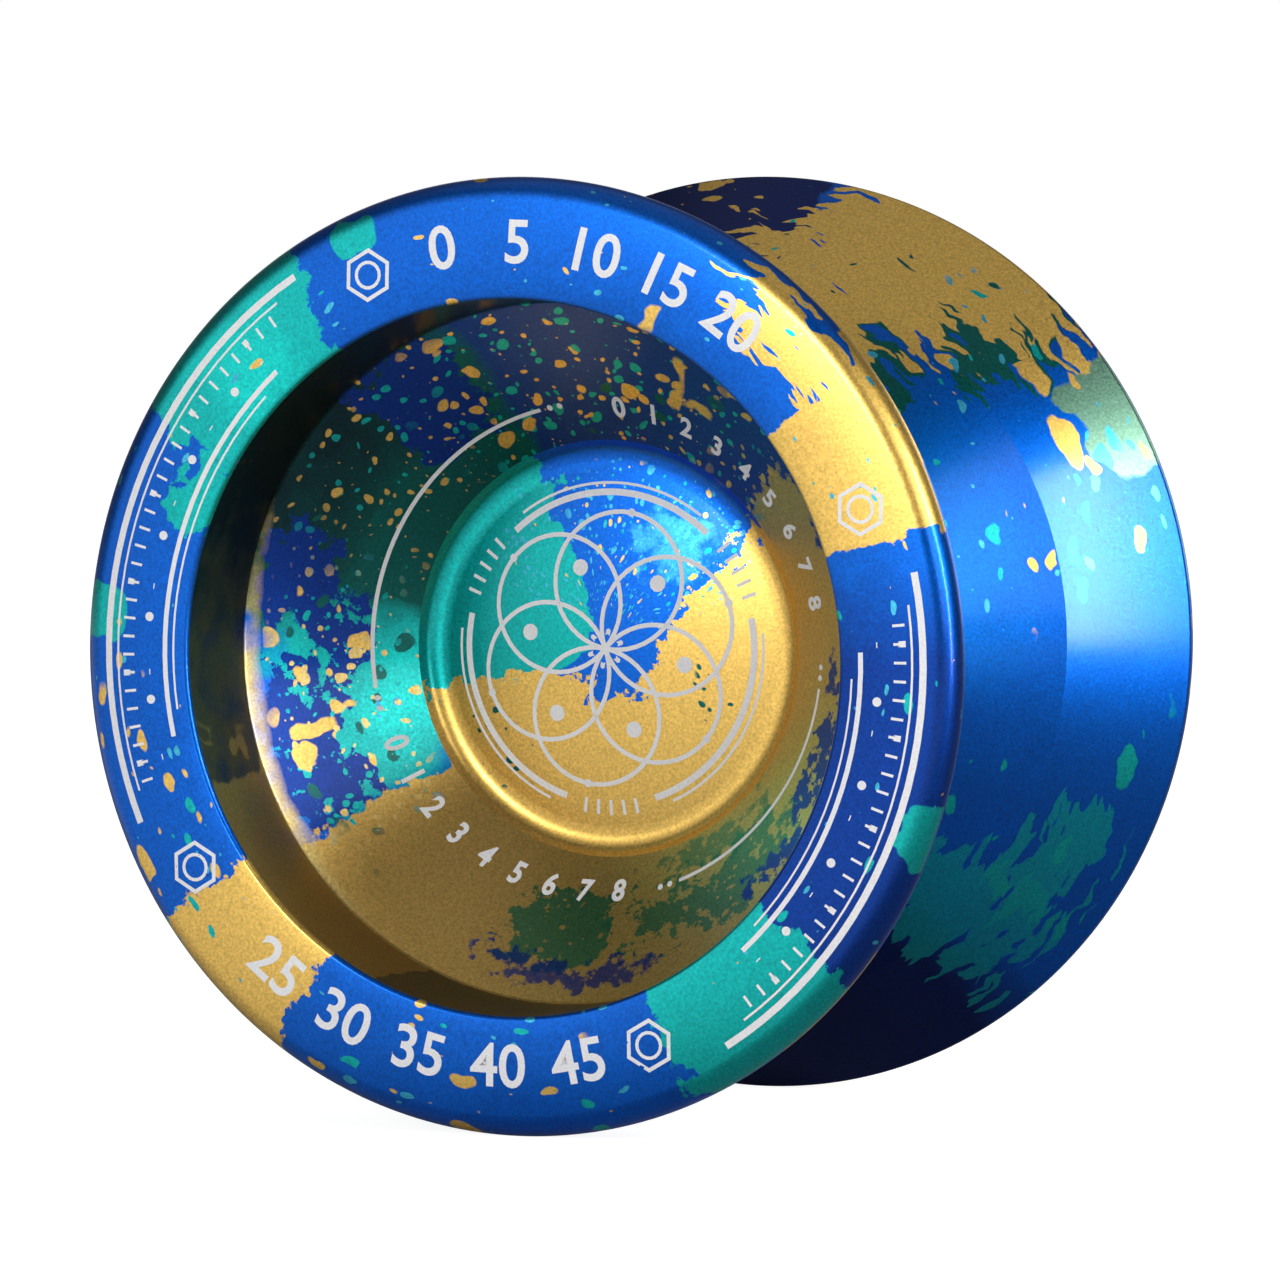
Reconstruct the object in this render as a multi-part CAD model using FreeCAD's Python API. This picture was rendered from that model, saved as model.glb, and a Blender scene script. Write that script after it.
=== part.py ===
"""Ball-bearing throw yo-yo: two turned aluminium halves screwed onto one axle, with a string bearing between them.

Frame: +Y runs along the axle from the front half to the rear half, +Z is up, and the origin is the middle of the
axle, halfway between the halves.  Each half is drawn as an outline of (radius, depth) points, where depth is the
distance from the middle plane, and is turned about the axle.  The rear half lies at +Y and the front one at -Y.
"""

import FreeCAD
import Part

import math
import os

Vector = FreeCAD.Vector
ORIGIN = Vector(0, 0, 0)
AXLE_LINE = Vector(0, 1, 0)

# ---- driving dimensions, in millimetres -------------------------------------------------------------------------

# outside of a half
RIM_RADIUS = 28.0          # largest radius of the yo-yo
HALF_DEPTH = 19.8          # middle plane to the face land, so the yo-yo is twice this wide
SHOULDER_DEPTH = 19.33     # where the lines of the face ring and of the rim would meet
SHOULDER_ROUND = 1.5
RIM_EDGE_DEPTH = 17.9      # corner between the rim and the weight wall
RIM_EDGE_ROUND = 0.25
CREASE = (22.4, 11.8)      # where the rim's weight wall meets the string slope
GAP = 4.4                  # width of the string gap next to the bearing
GAP_LIP_RADIUS = 10.0      # where the flat of the gap turns into the string slope
GAP_LIP_ROUND = 0.5

# cup of a half
LIP_RADIUS = 20.9          # mouth of the cup
LIP_DEPTH = 19.72
LIP_ROUND = 0.3
LIP_BREAK_RADIUS = 21.8    # from here the face ring falls towards the lip
LIP_BREAK_ROUND = 8.0
LAND_INNER_RADIUS = 22.6   # flat land of the face ring, which the yo-yo lies on
LAND_OUTER_RADIUS = 23.4
FACE_BREAK_RADIUS = 25.07  # from here the face ring falls towards the shoulder
CUP_CORNER = (20.7, 12.55) # foot of the cup's side wall, where the bowl starts
CUP_CORNER_ROUND = 0.4
HUB_EDGE = (12.4, 5.7)     # edge between the bowl and the hub dish
DISH_CORNER = (11.75, 4.85)
DISH_ROUND = 1.15
DOME_EDGE = (10.7, 4.93)
DOME_HEIGHT = 6.0          # depth of the hub dome at the axle line

# string bearing, size C: a quarter by a half by three sixteenths of an inch
BEARING_BORE_RADIUS = 3.175
BEARING_OUTER_RADIUS = 6.35
BEARING_WIDTH = 4.763
BALL_RADIUS = 0.79375
BALL_COUNT = 10
PITCH_RADIUS = 4.7625
RACEWAY_RADIUS = 0.83      # tube radius of the grooves that the balls run in
INNER_LAND_RADIUS = 4.25
OUTER_LAND_RADIUS = 5.28
RACE_CHAMFER = 0.15
STRING_GROOVE_RADIUS = 7.0 # curve of the outer race, which centres the string
STRING_GROOVE_DEPTH = 0.25
SHIELD_SEAT_DEPTH = 1.95   # the step in the outer race that a shield lies on
SHIELD_THICKNESS = 0.2
SHIELD_BORE_RADIUS = 4.4
SHIELD_SEAT_RADIUS = 5.75
CLIP_GROOVE_RADIUS = 5.86
CLIP_THICKNESS = 0.18
CLIP_INNER_RADIUS = 5.46
CLIP_OPENING = 28.0        # degrees left open in each snap clip
CAGE_INNER_RADIUS = 4.42
CAGE_OUTER_RADIUS = 5.1
CAGE_BACK = 1.2            # the closed side of the crown cage
CAGE_FRONT = -0.42         # the side that its balls snap in from
POCKET_RADIUS = 0.85
FINGER_SLOT_WIDTH = 0.42
FINGER_SLOT_DEPTH = 0.55

# axle: a headless M4 screw, 10 mm long, with a 2 mm hexagon socket in its rear end
AXLE_RADIUS = 2.0
AXLE_LENGTH = 10.0
AXLE_CHAMFER = 0.3
SOCKET_ACROSS_FLATS = 2.0
SOCKET_DEPTH = 2.2

# seat of the bearing and of the axle in a half
AXLE_CLEARANCE = 0.02
BEARING_CLEARANCE = 0.015
POST_END_DEPTH = 0.15      # each post stops short of the middle plane
POST_CHAMFER = 0.2
HOLE_END_DEPTH = 5.05
SHOULDER_RING_RADIUS = 3.75
RELIEF_DEPTH = 2.75        # floor of the pocket that the outer race and the shield turn in
POCKET_WALL_RADIUS = 6.6

# response pads: flat silicone rings in a groove of each half
PAD_INNER_RADIUS = 7.25
PAD_OUTER_RADIUS = 9.5
PAD_THICKNESS = 0.95
PAD_CLEARANCE = 0.06
PAD_GROOVE_DEPTH = 3.2
PAD_CHAMFER = 0.12

# ---- drawing helpers ---------------------------------------------------------------------------------------------

FULL = math.inf            # a corner rounded as far as its shorter side allows
TINY = 1e-6


def disc(radius, low, high):
    """Cylinder about the axle line between two places along it."""
    return Part.makeCylinder(radius, high - low, Vector(0, low, 0), AXLE_LINE)


def ring(inner_radius, outer_radius, low, high):
    return disc(outer_radius, low, high).cut(disc(inner_radius, low, high))


def tube_round(middle_radius, tube_radius):
    """Torus about the axle line, in the middle plane."""
    return Part.makeTorus(middle_radius, tube_radius, ORIGIN, AXLE_LINE)


def opposite(shape):
    """The same piece on the other side of the middle plane."""
    return shape.mirror(ORIGIN, AXLE_LINE)


def at_ball(shape, index):
    """Turns a shape from ball place 0 to another ball place."""
    turned = shape.copy()
    turned.rotate(ORIGIN, AXLE_LINE, index * 360.0 / BALL_COUNT)
    return turned


def rounded_corner(before, corner, after, radius):
    """Start, middle and end of the arc that rounds one corner of an outline."""
    to_before = before - corner
    to_after = after - corner
    opening = to_before.getAngle(to_after)
    if radius == FULL:
        radius = min(to_before.Length, to_after.Length) * math.tan(opening / 2)
    reach = radius / math.tan(opening / 2)
    start = corner + to_before * (reach / to_before.Length)
    end = corner + to_after * (reach / to_after.Length)
    bisector = to_before.normalize() + to_after.normalize()
    bisector.normalize()
    middle = corner + bisector * (radius / math.sin(opening / 2) - radius)
    return start, middle, end


def turned(outline):
    """Solid of revolution of a closed outline of (radius, place along the axle, optional corner round)."""
    corners = [Vector(point[0], point[1], 0) for point in outline]
    rounds = [point[2] if len(point) > 2 else 0 for point in outline]
    edges = []
    pen = None
    first = None
    for i, corner in enumerate(corners):
        if rounds[i]:
            after = corners[(i + 1) % len(corners)]
            start, middle, end = rounded_corner(corners[i - 1], corner, after, rounds[i])
        else:
            start = end = corner
        if pen is not None and (start - pen).Length > TINY:
            edges.append(Part.LineSegment(pen, start).toShape())
        if rounds[i]:
            edges.append(Part.Arc(start, middle, end).toShape())
        first = start if first is None else first
        pen = end
    if (first - pen).Length > TINY:
        edges.append(Part.LineSegment(pen, first).toShape())
    section = Part.Face(Part.Wire(edges))
    return section.revolve(ORIGIN, AXLE_LINE, 360)


# ---- the two halves ----------------------------------------------------------------------------------------------


def bearing_seat_outline():
    """Axle hole, post, shoulder for the inner race and the pocket that clears the rest of the bearing."""
    hole = AXLE_RADIUS + AXLE_CLEARANCE
    post = BEARING_BORE_RADIUS - BEARING_CLEARANCE
    face = BEARING_WIDTH / 2
    return [
        (0, HOLE_END_DEPTH),
        (hole, HOLE_END_DEPTH),
        (hole, POST_END_DEPTH + POST_CHAMFER),
        (hole + POST_CHAMFER, POST_END_DEPTH),
        (post - POST_CHAMFER, POST_END_DEPTH),
        (post, POST_END_DEPTH + POST_CHAMFER),
        (post, face),
        (SHOULDER_RING_RADIUS, face),
        (SHOULDER_RING_RADIUS, RELIEF_DEPTH),
        (POCKET_WALL_RADIUS, RELIEF_DEPTH),
        (POCKET_WALL_RADIUS, GAP / 2),
    ]


def pad_groove_outline():
    inner = PAD_INNER_RADIUS - PAD_CLEARANCE
    outer = PAD_OUTER_RADIUS + PAD_CLEARANCE
    return [
        (inner, GAP / 2),
        (inner, PAD_GROOVE_DEPTH),
        (outer, PAD_GROOVE_DEPTH),
        (outer, GAP / 2),
    ]


def rim_outline():
    """String slope, weight wall, rounded shoulder and crowned face ring, ending at the mouth of the cup."""
    return [
        (GAP_LIP_RADIUS, GAP / 2, GAP_LIP_ROUND),
        CREASE,
        (RIM_RADIUS, RIM_EDGE_DEPTH, RIM_EDGE_ROUND),
        (RIM_RADIUS, SHOULDER_DEPTH, SHOULDER_ROUND),
        (FACE_BREAK_RADIUS, HALF_DEPTH, FULL),
        (LAND_OUTER_RADIUS, HALF_DEPTH),
        (LAND_INNER_RADIUS, HALF_DEPTH),
        (LIP_BREAK_RADIUS, HALF_DEPTH, LIP_BREAK_ROUND),
        (LIP_RADIUS, LIP_DEPTH, LIP_ROUND),
    ]


def cup_outline():
    """Side wall, bowl, hub dish and hub dome."""
    return [
        (*CUP_CORNER, CUP_CORNER_ROUND),
        HUB_EDGE,
        (*DISH_CORNER, DISH_ROUND),
        DOME_EDGE,
        (DOME_EDGE[0] / 2, DOME_HEIGHT, FULL),
        (0, DOME_HEIGHT),
    ]


def half():
    """The rear half.  The front half is the same part, turned round."""
    return turned(bearing_seat_outline() + pad_groove_outline() + rim_outline() + cup_outline())


def response_pad():
    back = PAD_GROOVE_DEPTH
    front = back - PAD_THICKNESS
    return turned([
        (PAD_INNER_RADIUS, back),
        (PAD_OUTER_RADIUS, back),
        (PAD_OUTER_RADIUS, front + PAD_CHAMFER),
        (PAD_OUTER_RADIUS - PAD_CHAMFER, front),
        (PAD_INNER_RADIUS + PAD_CHAMFER, front),
        (PAD_INNER_RADIUS, front + PAD_CHAMFER),
    ])


# ---- axle --------------------------------------------------------------------------------------------------------


def axle():
    """Headless screw that bottoms in the front half, so both halves pull up on it."""
    front_end = -HOLE_END_DEPTH
    rear_end = front_end + AXLE_LENGTH
    body = turned([
        (0, front_end),
        (AXLE_RADIUS - AXLE_CHAMFER, front_end),
        (AXLE_RADIUS, front_end + AXLE_CHAMFER),
        (AXLE_RADIUS, rear_end - AXLE_CHAMFER),
        (AXLE_RADIUS - AXLE_CHAMFER, rear_end),
        (0, rear_end),
    ])
    corner_radius = SOCKET_ACROSS_FLATS / 2 / math.cos(math.pi / 6)
    corners = []
    for i in range(7):
        angle = i * math.pi / 3
        corners.append(Vector(corner_radius * math.cos(angle), rear_end, corner_radius * math.sin(angle)))
    hexagon = Part.Face(Part.makePolygon(corners))
    socket = hexagon.extrude(Vector(0, -SOCKET_DEPTH, 0))
    return body.cut(socket)


# ---- string bearing ----------------------------------------------------------------------------------------------


def inner_race():
    face = BEARING_WIDTH / 2
    body = turned([
        (BEARING_BORE_RADIUS, -face),
        (INNER_LAND_RADIUS - RACE_CHAMFER, -face),
        (INNER_LAND_RADIUS, -face + RACE_CHAMFER),
        (INNER_LAND_RADIUS, face - RACE_CHAMFER),
        (INNER_LAND_RADIUS - RACE_CHAMFER, face),
        (BEARING_BORE_RADIUS, face),
    ])
    groove_middle = PITCH_RADIUS - BALL_RADIUS + RACEWAY_RADIUS
    return body.cut(tube_round(groove_middle, RACEWAY_RADIUS))


def outer_race():
    """Outer race with its raceway, a hollowed outside for the string and a stepped seat for each shield."""
    face = BEARING_WIDTH / 2
    clip_start = SHIELD_SEAT_DEPTH + SHIELD_THICKNESS
    body = turned([
        (OUTER_LAND_RADIUS, -face),
        (BEARING_OUTER_RADIUS - RACE_CHAMFER, -face),
        (BEARING_OUTER_RADIUS, -face + RACE_CHAMFER),
        (BEARING_OUTER_RADIUS, face - RACE_CHAMFER),
        (BEARING_OUTER_RADIUS - RACE_CHAMFER, face),
        (OUTER_LAND_RADIUS, face),
    ])
    raceway = tube_round(PITCH_RADIUS + BALL_RADIUS - RACEWAY_RADIUS, RACEWAY_RADIUS)
    string_groove = tube_round(
        BEARING_OUTER_RADIUS - STRING_GROOVE_DEPTH + STRING_GROOVE_RADIUS, STRING_GROOVE_RADIUS)
    shield_seat = disc(SHIELD_SEAT_RADIUS, SHIELD_SEAT_DEPTH, face)
    clip_groove = disc(CLIP_GROOVE_RADIUS, clip_start, clip_start + CLIP_THICKNESS)
    for cutter in (raceway, string_groove, shield_seat, clip_groove, opposite(shield_seat), opposite(clip_groove)):
        body = body.cut(cutter)
    return body


def shield():
    """Thin washer that lies on the step of the outer race and stays clear of the inner one."""
    return ring(SHIELD_BORE_RADIUS, SHIELD_SEAT_RADIUS, SHIELD_SEAT_DEPTH, SHIELD_SEAT_DEPTH + SHIELD_THICKNESS)


def shield_clip():
    """Open snap ring that holds a shield down."""
    start = SHIELD_SEAT_DEPTH + SHIELD_THICKNESS
    whole = ring(CLIP_INNER_RADIUS, CLIP_GROOVE_RADIUS, start, start + CLIP_THICKNESS)
    wedge = Part.makeCylinder(
        BEARING_OUTER_RADIUS, CLIP_THICKNESS, Vector(0, start, 0), AXLE_LINE, CLIP_OPENING)
    return whole.cut(wedge)


def ball():
    return Part.makeSphere(BALL_RADIUS, Vector(PITCH_RADIUS, 0, 0))


def crown_cage():
    """One-piece crown cage: a ring with a round pocket for each ball, and a slot in each finger between two."""
    body = ring(CAGE_INNER_RADIUS, CAGE_OUTER_RADIUS, CAGE_FRONT, CAGE_BACK)
    pocket = Part.makeCylinder(POCKET_RADIUS, BEARING_OUTER_RADIUS, ORIGIN, Vector(1, 0, 0))
    slot = Part.makeBox(
        BEARING_OUTER_RADIUS, FINGER_SLOT_DEPTH, FINGER_SLOT_WIDTH,
        Vector(0, CAGE_FRONT, -FINGER_SLOT_WIDTH / 2))
    for i in range(BALL_COUNT):
        body = body.cut(at_ball(pocket, i))
        body = body.cut(at_ball(slot, i + 0.5))
    return body


# ---- export ------------------------------------------------------------------------------------------------------


def parts():
    rear_half = half()
    rear_pad = response_pad()
    rear_shield = shield()
    rear_clip = shield_clip()
    named = {
        "front_half": opposite(rear_half),
        "rear_half": rear_half,
        "front_response_pad": opposite(rear_pad),
        "rear_response_pad": rear_pad,
        "axle_screw": axle(),
        "bearing_inner_race": inner_race(),
        "bearing_outer_race": outer_race(),
        "bearing_cage": crown_cage(),
        "front_bearing_shield": opposite(rear_shield),
        "rear_bearing_shield": rear_shield,
        "front_shield_clip": opposite(rear_clip),
        "rear_shield_clip": rear_clip,
    }
    for i in range(BALL_COUNT):
        named[f"bearing_ball_{i + 1:02d}"] = at_ball(ball(), i)
    return named


os.makedirs("parts", exist_ok=True)
for name, shape in parts().items():
    shape.exportStep(f"parts/{name}.step")
    print(f"{name}: {shape.Volume:.2f} cubic mm, valid {shape.isValid()}, solids {len(shape.Solids)}")
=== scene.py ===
import math

import bmesh
import bpy
from mathutils import Matrix, Vector


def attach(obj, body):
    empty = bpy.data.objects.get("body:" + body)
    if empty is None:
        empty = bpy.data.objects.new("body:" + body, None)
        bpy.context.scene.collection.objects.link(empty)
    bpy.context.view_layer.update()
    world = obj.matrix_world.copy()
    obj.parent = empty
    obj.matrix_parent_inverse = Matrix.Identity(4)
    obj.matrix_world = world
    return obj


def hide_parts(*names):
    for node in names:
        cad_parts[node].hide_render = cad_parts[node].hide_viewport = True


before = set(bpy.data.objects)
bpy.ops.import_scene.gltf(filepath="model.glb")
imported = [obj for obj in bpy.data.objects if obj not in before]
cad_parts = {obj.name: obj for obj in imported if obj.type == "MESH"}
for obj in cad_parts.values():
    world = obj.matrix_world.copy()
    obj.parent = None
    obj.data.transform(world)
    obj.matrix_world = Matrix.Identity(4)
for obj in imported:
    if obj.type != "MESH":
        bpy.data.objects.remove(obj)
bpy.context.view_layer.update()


# ---- front half ------------------------------------------------------------------------------------------
# One turned piece of aluminium: string slope, weight wall, crowned face ring, hollow cup and domed hub.
# It is bead blasted, then dyed in its oxide coat: blue all over, with teal and gold thrown on.  It screws
# onto the axle.

MM = 0.001
FULL = math.inf            # a corner rounded as far as its shorter side allows
TURN_STEPS = 288
ROUND_STEP = math.radians(5)
CREASE = math.radians(7.5)     # a sharper turn shows as an edge
MERGE = 0.0005 * MM

half_outline = (           # radius, depth from the middle plane, corner round
    (0, 5.05), (2.02, 5.05), (2.02, 0.35), (2.22, 0.15), (2.96, 0.15), (3.16, 0.35), (3.16, 2.3815),
    (3.75, 2.3815), (3.75, 2.75), (6.6, 2.75), (6.6, 2.2),                 # post, shoulder and bearing pocket
    (7.19, 2.2), (7.19, 3.2), (9.56, 3.2), (9.56, 2.2),                    # groove of the response pad
    (10.0, 2.2, 0.5), (22.4, 11.8, 0), (28.0, 17.9, 0.25),                 # string slope and weight wall
    (28.0, 19.31, 1.5), (25.07, 19.78, FULL), (23.4, 19.78), (22.6, 19.78),    # rim, face ring less its marks
    (21.8, 19.78, 8.0), (20.9, 19.70, 0.3), (20.7, 12.55, 0.4),            # lip and side wall of the cup
    (12.4, 5.7), (11.75, 4.85, 1.15), (10.7, 4.93), (5.35, 6.0, FULL), (0, 6.0),   # bowl, dish and dome
)


def pick_corner(piece, place):
    """Selects the one vertex of the edited piece that lies at a place."""
    mesh = bmesh.from_edit_mesh(piece.data)
    for vertex in mesh.verts:
        vertex.select = (vertex.co - place).length < MERGE
    mesh.select_flush_mode()
    bmesh.update_edit_mesh(piece.data)


def drawn(name, places, closed):
    """A chain of edges through some places, left in edit mode."""
    bpy.ops.object.select_all(action="DESELECT")
    bpy.ops.mesh.primitive_plane_add(size=MM)
    piece = bpy.context.object
    piece.name = piece.data.name = name
    bpy.ops.object.mode_set(mode="EDIT")
    bpy.ops.mesh.merge(type="CENTER")
    bpy.ops.transform.translate(value=places[0])
    for start, end in zip(places, places[1:] + places[:1] if closed else places[1:]):
        bpy.ops.mesh.extrude_region_move(TRANSFORM_OT_translate={"value": end - start})
    bpy.ops.mesh.select_all(action="SELECT")
    bpy.ops.mesh.remove_doubles(threshold=MERGE)
    return piece


def turned(name, outline, side):
    """Draws an outline of (radius, depth, corner round), rounds its corners and spins it about the axle."""
    places = [Vector((corner[0] * MM, side * corner[1] * MM, 0)) for corner in outline]
    piece = drawn(name, places, closed=outline[0][0] > 0)
    for i, corner in enumerate(outline):
        if len(corner) > 2 and corner[2]:
            before = places[i - 1] - places[i]
            after = places[(i + 1) % len(places)] - places[i]
            turn = math.pi - before.angle(after)
            reach = min(before.length, after.length) * 0.9999
            if corner[2] != FULL:
                reach = min(reach, corner[2] * MM * math.tan(turn / 2))
            pick_corner(piece, places[i])
            bpy.ops.mesh.bevel(offset=reach, segments=max(2, math.ceil(turn / ROUND_STEP)), affect="VERTICES")
    bpy.ops.mesh.select_all(action="SELECT")
    bpy.ops.mesh.spin(steps=TURN_STEPS, angle=2 * math.pi, center=(0, 0, 0), axis=(0, 1, 0))
    bpy.ops.mesh.select_all(action="SELECT")
    bpy.ops.mesh.remove_doubles(threshold=MERGE)
    bpy.ops.mesh.normals_make_consistent(inside=False)
    bpy.ops.object.mode_set(mode="OBJECT")
    bpy.ops.object.shade_smooth_by_angle(angle=CREASE)
    return piece


front = turned("turned_half_front", half_outline, -1)
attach(front, "spool")
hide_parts("front_half")

# dyes of the oxide coat, and a near black laid only as painted shade
BLUE = (0.0, 0.118, 0.60, 1)
NAVY = (0.001, 0.014, 0.12, 1)
TEAL = (0.003, 0.43, 0.41, 1)
GREEN = (0.002, 0.115, 0.10, 1)
CYAN = (0.05, 0.42, 0.62, 1)
GOLD = (0.76, 0.49, 0.115, 1)
BROWN = (0.62, 0.39, 0.10, 1)
BEIGE = (0.70, 0.52, 0.18, 1)
INK = (0.004, 0.048, 0.28, 1)
DEEP = (0.001, 0.035, 0.26, 1)
# near black for painted shade in the bowl and on the cup's side wall
PAINTED_SHADE = (0.002, 0.006, 0.02, 1)
AQUA = (0.004, 0.62, 0.56, 1)
MOSS = (0.03, 0.21, 0.09, 1)


def new_group(name, inputs, outputs):
    """Empty shader group with sockets of (name, kind, default)."""
    group = bpy.data.node_groups.new(name, "ShaderNodeTree")
    for label, kind, default in inputs:
        socket = group.interface.new_socket(label, in_out="INPUT", socket_type="NodeSocket" + kind)
        if default is not None:
            socket.default_value = default
    for label, kind in outputs:
        group.interface.new_socket(label, in_out="OUTPUT", socket_type="NodeSocket" + kind)
    return group, group.nodes.new("NodeGroupInput"), group.nodes.new("NodeGroupOutput")


def add_node(tree, kind, sources=(), values=(), **settings):
    """Adds a node and sets its inputs, given as (input, output socket) pairs and (input, value) pairs."""
    node = tree.nodes.new("ShaderNode" + kind)
    for key, value in settings.items():
        setattr(node, key, value)
    for key, value in values:
        node.inputs[key].default_value = value
    for key, source in sources:
        tree.links.new(source, node.inputs[key])
    return node


# a rounded patch in flat or in polar places, with frayed edges: a thrown splash of dye, and also each patch
# of painted shade and painted highlight
splash_and_light_patch_group, asks, gives = new_group(
    "splash_and_painted_light_patch",
    (("Place", "Vector", None), ("Fray", "Float", 0.0), ("Shrink", "Vector", (1, 1, 1)),
     ("Shift", "Vector", (0, 0, 0)), ("Fray Gain", "Float", 1.0), ("Edge Gain", "Float", 1.0),
     ("Edge Loss", "Float", -1.0)),
    (("Mask", "Float"),))
moved = add_node(splash_and_light_patch_group, "VectorMath", ((0, asks.outputs["Place"]), (1, asks.outputs["Shrink"]),
                                              (2, asks.outputs["Shift"])), operation="MULTIPLY_ADD")
squared = add_node(splash_and_light_patch_group, "VectorMath", ((0, moved.outputs[0]), (1, moved.outputs[0])),
                   operation="MULTIPLY")
far = add_node(splash_and_light_patch_group, "VectorMath", ((0, squared.outputs[0]),), operation="LENGTH")
torn = add_node(splash_and_light_patch_group, "Math", ((0, asks.outputs["Fray"]), (1, asks.outputs["Fray Gain"]),
                                       (2, asks.outputs["Edge Gain"])), operation="MULTIPLY_ADD")
mask = add_node(splash_and_light_patch_group, "Math", ((0, far.outputs["Value"]), (1, asks.outputs["Edge Loss"]),
                                       (2, torn.outputs[0])), operation="MULTIPLY_ADD", use_clamp=True)
splash_and_light_patch_group.links.new(mask.outputs[0], gives.inputs["Mask"])

# flung drops: cells of a Voronoi pattern in polar places, drawn out along the turn
drops_group, asks, gives = new_group(
    "flung_drops",
    (("Place", "Vector", None), ("Shrink", "Vector", (1, 1, 1)), ("Shift", "Vector", (0, 0, 0)),
     ("Size", "Float", 0.4)),
    (("Mask", "Float"), ("Chance", "Float"), ("Dye", "Float")))
scaled = add_node(drops_group, "VectorMath", ((0, asks.outputs["Place"]), (1, asks.outputs["Shrink"]),
                                              (2, asks.outputs["Shift"])), operation="MULTIPLY_ADD")
cells = add_node(drops_group, "TexVoronoi", (("Vector", scaled.outputs[0]),),
                 (("Scale", 1.0), ("Randomness", 0.75)), voronoi_dimensions="2D")
chance = add_node(drops_group, "SeparateColor", ((0, cells.outputs["Color"]),))
uneven = add_node(drops_group, "Math", ((0, chance.outputs[0]), (1, chance.outputs[0])), operation="MULTIPLY")
reach = add_node(drops_group, "Math", ((0, uneven.outputs[0]), (1, asks.outputs["Size"]),
                                       (2, cells.outputs["Distance"])), operation="MULTIPLY_ADD")
gap = add_node(drops_group, "Math", ((0, cells.outputs["Distance"]),), ((1, -2.0),), operation="MULTIPLY")
inside = add_node(drops_group, "Math", ((0, reach.outputs[0]), (1, gap.outputs[0])), operation="ADD")
mask = add_node(drops_group, "Math", ((0, inside.outputs[0]),), ((1, 24.0), (2, 1.0)),
                operation="MULTIPLY_ADD", use_clamp=True)
drops_group.links.new(mask.outputs[0], gives.inputs["Mask"])
drops_group.links.new(chance.outputs[1], gives.inputs["Chance"])
drops_group.links.new(chance.outputs[2], gives.inputs["Dye"])

# bead-blasted skin: fine dents and sparkle
blast_group, asks, gives = new_group(
    "blasted_skin", (("Vector", "Vector", None),),
    (("Height", "Float"), ("Roughness", "Float"), ("Shade", "Float")))
dents = add_node(blast_group, "TexNoise", (("Vector", asks.outputs["Vector"]),),
                 (("Scale", 6.0), ("Detail", 1.0), ("Roughness", 0.6)))
tints = add_node(blast_group, "SeparateColor", ((0, dents.outputs["Color"]),))
shine = add_node(blast_group, "Math", ((0, tints.outputs[1]),), ((1, 0.24), (2, 0.24)),
                 operation="MULTIPLY_ADD")
shade = add_node(blast_group, "Math", ((0, tints.outputs[2]),), ((1, 0.9), (2, 0.55)),
                 operation="MULTIPLY_ADD")
blast_group.links.new(dents.outputs[0], gives.inputs["Height"])
blast_group.links.new(shine.outputs[0], gives.inputs["Roughness"])
blast_group.links.new(shade.outputs[0], gives.inputs["Shade"])


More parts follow.
